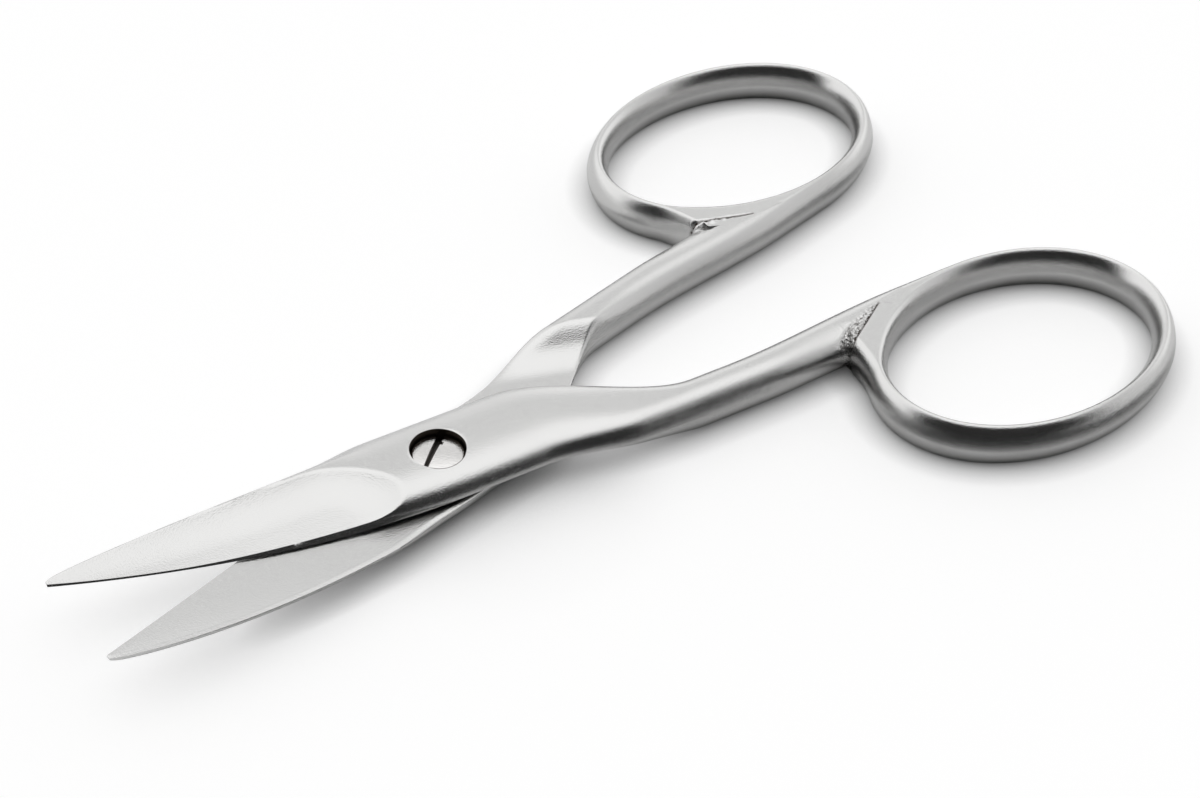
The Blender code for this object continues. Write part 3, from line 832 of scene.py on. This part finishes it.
# The table, in metres. The two reaches are how far round a place its openness is measured
TABLE_SIZE = 2.0
CONTACT_REACH = 2.3 * MM
AROUND_REACH = 12.0 * MM
TABLE_PLAIN = 0.60          # the table's colour for the light that it throws back on the object
TABLE_SEEN = 0.66           # added to it for the camera
TABLE_FAR = 0.06            # its colour in reflections, in front of the scissors
TABLE_NEAR = 0.90           # and what is added beside, behind and beyond them
NEAR_OPENNESS = (0.98, 0.88)
BEHIND_SLOPE = 0.55
BEHIND_RANGE = (2.0 * MM, 5.0 * MM)
BEYOND_X = (55.0 * MM, 60.0 * MM)
# A painted shadow on the table in front of the joint: how deep, its middle, and where it fades
PAINTED_JOINT_SHADE = 0.75
PAINTED_JOINT_SHADE_AT = (3.0 * MM, -8.0 * MM)
PAINTED_JOINT_SHADE_RANGE = (13.0 * MM, 5.0 * MM)
# Painted contact shadow: the power put on the table's openness close round a place
PAINTED_CONTACT_SHADOW_POWER = 1.1
PAINTED_CONTACT_SHADE_MIRRORED = 0.6      # painted contact shade: the share of its paleness that it loses in reflections at a contact
CLEAR_SHARE = 0.55          # so much of what the camera sees is plain white with a painted contact shadow


def table_in_reflections(x, y, contact, around):
    """The table's paleness in reflections: dark in front of the scissors, pale beside, behind and beyond."""
    behind = (y - BEHIND_SLOPE * x).step(*BEHIND_RANGE)
    pale = around.step(*NEAR_OPENNESS).at_least(behind.at_least(x.step(*BEYOND_X)))
    # Less pale at a contact: painted contact shade in reflections
    return (TABLE_FAR + TABLE_NEAR * pale) * (1.0 - PAINTED_CONTACT_SHADE_MIRRORED + PAINTED_CONTACT_SHADE_MIRRORED * contact)


def painted_joint_shadow(x, y, around, seen):
    """A painted shadow on the table in front of the wide joint, as the camera sees it: the share of light
    left.
    """
    dx, dy = x - PAINTED_JOINT_SHADE_AT[0], y - PAINTED_JOINT_SHADE_AT[1]
    close = ((dx * dx + dy * dy) ** 0.5).step(*PAINTED_JOINT_SHADE_RANGE)
    return 1.0 - PAINTED_JOINT_SHADE * seen * close * (1.0 - around)


def table_material():
    """White to the camera with a soft contact shadow, part lit, part painted; grey to the light; partly dark
    in reflections.
    """
    material = bpy.data.materials.new("table")
    tree = Tree(material)
    seen = tree.node("ShaderNodeLightPath", output="Is Camera Ray")
    reflected = tree.node("ShaderNodeLightPath", output="Is Glossy Ray")
    contact, around = [
        tree.node("ShaderNodeAmbientOcclusion", {"samples": 4}, {"Distance": reach}, output="AO")
        for reach in (CONTACT_REACH, AROUND_REACH)]
    x, y, _ = tree.parts(tree.node("ShaderNodeTexCoord", output="Object"))
    mirrored = table_in_reflections(x, y, contact, around)
    # The painted shadow in front of the joint, as a share of the light left
    left = painted_joint_shadow(x, y, around, seen)
    tone = (TABLE_PLAIN + TABLE_SEEN * seen + (mirrored - TABLE_PLAIN) * reflected) * left
    matt = tree.node("ShaderNodeBsdfDiffuse", None, {"Color": tree.grey(tone)})
    # Plain white for the camera, darkened by painted contact shadow and the painted shadow in front of the
    # joint
    clear = tree.node("ShaderNodeEmission", None, {"Color": tree.grey(contact ** PAINTED_CONTACT_SHADOW_POWER * left)})
    shader = tree.node("ShaderNodeMixShader", None, {"Fac": CLEAR_SHARE * seen, 1: matt, 2: clear})
    tree.node("ShaderNodeOutputMaterial", None, {"Surface": shader})
    return material


def add_table():
    """A table top at z = 0, which the scissors lie on."""
    s = TABLE_SIZE
    mesh = bpy.data.meshes.new("table")
    mesh.from_pydata([(-s, -s, 0.0), (s, -s, 0.0), (s, s, 0.0), (-s, s, 0.0)], [], [(0, 1, 2, 3)])
    table = add_object("table", mesh)
    mesh.materials.append(table_material())


# The room, by azimuth from +X towards +Y. A fade is between cosines of the angle off its direction
DARK_SIDE = math.radians(-128.0)
BRIGHT_SIDE = math.radians(120.0)
LOW_SIDE = math.radians(20.0)
LAMP_SIDE = math.radians(30.0)
LAMP_HEIGHT = math.radians(82.0)
WALL_LEVEL = 0.77
DARK_LESS = 0.74
BRIGHT_MORE = 0.4
LOW_MORE = 0.4
LAMP_LEVEL = 1.28
DARK_FADE = (0.30, 0.45)
BRIGHT_FADE = (0.5, 0.9)
LOW_FADE = (0.6, 0.9)
LOW_TOP = (0.60, 0.45)      # the low side's light goes out between the heights with these sines
LAMP_FADE = (0.78, 0.91)


def add_light():
    """A studio as one sky: a wide lamp overhead, pale walls, and a dark room behind the camera."""
    world = bpy.data.worlds.new("room")
    bpy.context.scene.world = world
    tree = Tree(world)
    x, y, z = tree.parts(tree.node("ShaderNodeTexCoord", output="Generated"))
    level_length = (1.0 - z * z) ** 0.5

    def toward(azimuth):
        """Cosine of the angle in plan between the direction and an azimuth."""
        return (x * math.cos(azimuth) + y * math.sin(azimuth)) / level_length

    dark = toward(DARK_SIDE).step(*DARK_FADE)
    bright = toward(BRIGHT_SIDE).step(*BRIGHT_FADE)
    low = toward(LOW_SIDE).step(*LOW_FADE) * z.step(*LOW_TOP)
    walls = WALL_LEVEL + BRIGHT_MORE * bright + LOW_MORE * low - DARK_LESS * dark
    lamp_x = math.cos(LAMP_HEIGHT) * math.cos(LAMP_SIDE)
    lamp_y = math.cos(LAMP_HEIGHT) * math.sin(LAMP_SIDE)
    lamp = (x * lamp_x + y * lamp_y + z * math.sin(LAMP_HEIGHT)).step(*LAMP_FADE)
    level = walls + (LAMP_LEVEL - walls) * lamp
    shader = tree.node("ShaderNodeBackground", None, {"Color": (1.0, 1.0, 1.0, 1.0), "Strength": level})
    tree.node("ShaderNodeOutputWorld", None, {"Surface": shader})


def main():
    add_camera()
    add_table()
    add_light()
    satin = steel("satin_steel", SATIN_COLOR, SATIN_ROUGHNESS, forging_painted_shade_and_marks)
    polished = steel("polished_steel", POLISHED_COLOR, POLISHED_ROUGHNESS, screw_painted_shade)
    for half in (UPPER, LOWER):
        add_half(half, satin)
    add_screw(polished)


bpy.context.scene.view_settings.view_transform = "Standard"
main()
